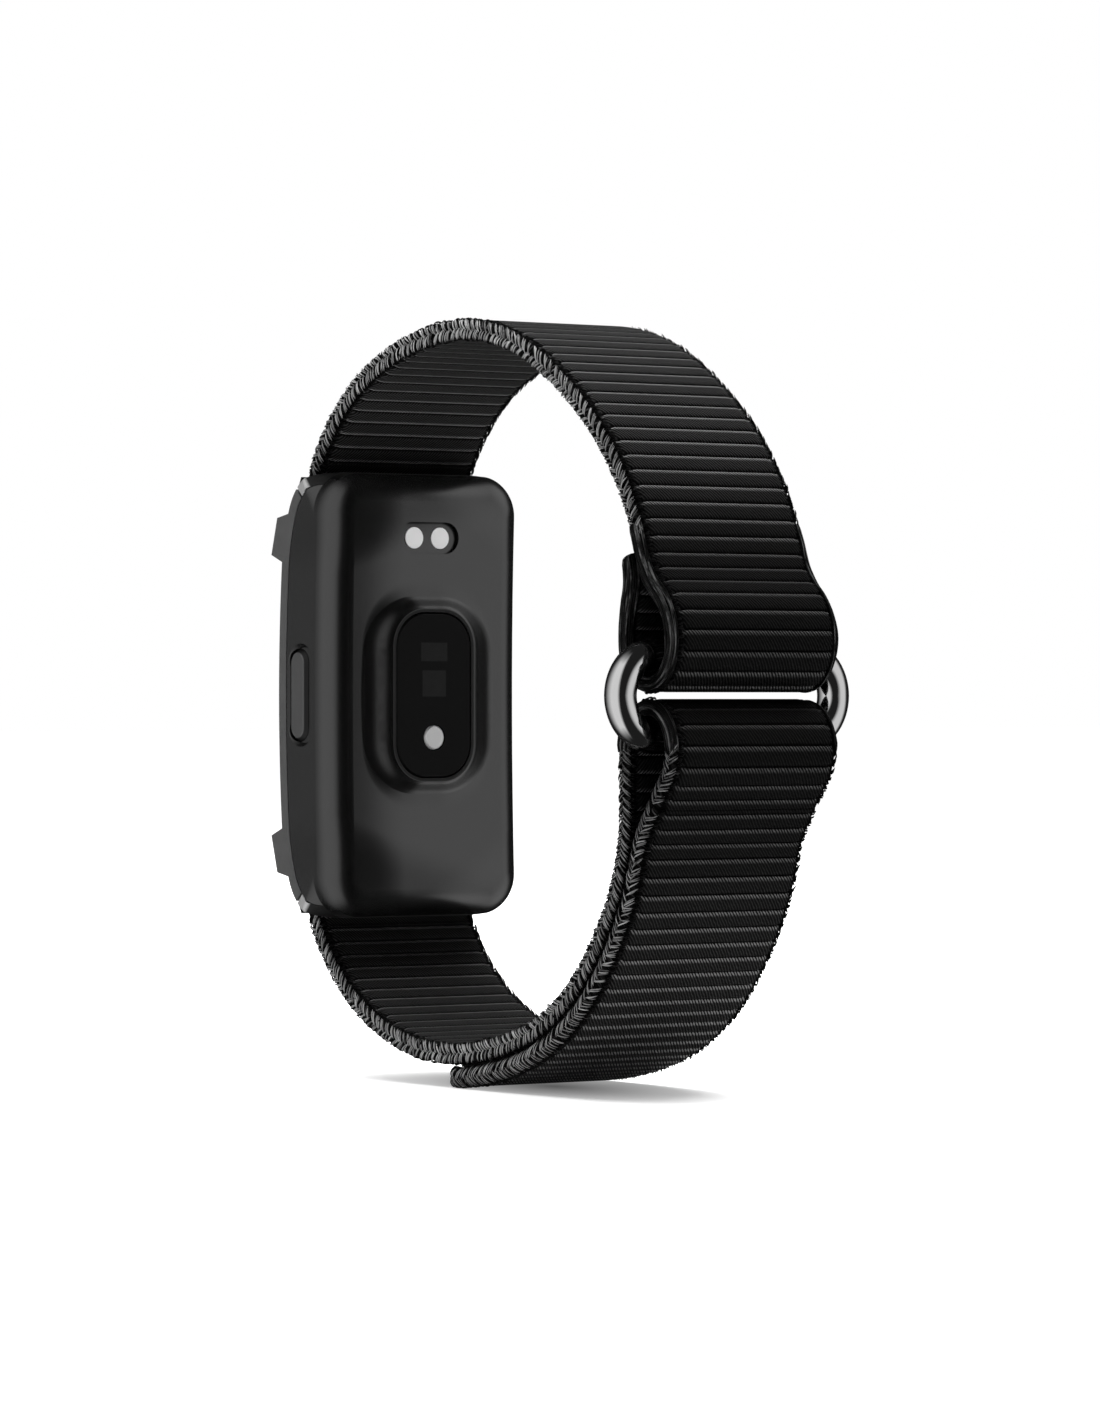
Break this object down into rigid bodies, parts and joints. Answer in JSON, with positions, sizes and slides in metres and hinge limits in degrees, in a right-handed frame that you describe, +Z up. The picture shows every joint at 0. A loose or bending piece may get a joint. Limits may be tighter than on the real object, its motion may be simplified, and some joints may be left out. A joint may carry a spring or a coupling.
{
  "type": "fitness tracker band",
  "caption": "Slim wrist tracker with raised optical sensor, side button and impact bars, on a ribbed pull-through strap closed round an oval slide ring.",
  "frame": {"origin": "on the floor under the middle of the closed band's box, standing on the bottom of its strap", "axes": "+Z up, +X from the tracker towards the slide ring with the screen facing -X, +Y along the wearer's arm with the side button on the -Y side"},
  "size_m": [0.0669, 0.0286, 0.0764],
  "materials": {
    "case_plastic": "soft-touch satin moulding",
    "bezel_plastic": "satin moulding, a shade lighter than the case",
    "dark_glass": "polished black-backed glass",
    "display": "dark display laminate",
    "button_plastic": "satin moulding",
    "seal_rubber": "matt black silicone",
    "foam": "matt closed-cell foam and adhesive",
    "frame_plastic": "glass-filled nylon",
    "circuit_board": "solder-masked laminate",
    "plated_steel": "plain plated steel",
    "cell_foil": "laminated foil pouch",
    "flex_film": "polyimide film",
    "contact_metal": "bright plated contact",
    "sensor_package": "dark optical package",
    "link_plastic": "matt black moulding",
    "webbing": "ribbed charcoal weave with braided edges",
    "hook_tape": "fine hook tape",
    "ring_chrome": "dark polished plating"
  },
  "bodies": {
    "tracker": {"main_case": "case_plastic", "front_bezel": "bezel_plastic", "bezel_gasket": "foam", "cover_glass": "dark_glass", "display_panel": "display", "display_cushion": "foam", "inner_frame": "frame_plastic", "main_board": "circuit_board", "board_screws": "plated_steel", "shield_can": "plated_steel", "battery": "cell_foil", "battery_tape": "foam", "vibration_motor": "plated_steel", "motor_tape": "foam", "sensor_window": "dark_glass", "skin_contact": "contact_metal", "sensor_board": "circuit_board", "photodiode": "sensor_package", "light_emitters": "sensor_package", "contact_spring": "plated_steel", "sensor_flex": "flex_film", "charging_contacts": "contact_metal", "button_seal": "seal_rubber", "button_switch": "sensor_package", "spring_bar_upper": "plated_steel", "spring_bar_lower": "plated_steel", "end_link_upper": "link_plastic", "end_link_lower": "link_plastic", "upper_strap": "webbing", "lower_strap": "webbing"},
    "button": {"side_button": "button_plastic"},
    "flap": {"strap_flap": "webbing", "hook_patch": "hook_tape"},
    "ring": {"slide_ring": "ring_chrome"}
  },
  "joints": [
    {"name": "button_press", "type": "slide", "parent": "tracker", "child": "button", "axis": [0, 1, 0], "range_m": [0, 0.00035], "stiffness_N_per_m": 1000},
    {"name": "flap_peel", "type": "hinge", "parent": "tracker", "child": "flap", "pos_m": [0.03052, 0, 0.02813], "axis": [0, -1, 0], "range_deg": [0, 80]},
    {"name": "ring_swing", "type": "hinge", "parent": "tracker", "child": "ring", "pos_m": [0.0287, 0, 0.043], "axis": [0, 1, 0], "range_deg": [-2, 2]}
  ]
}
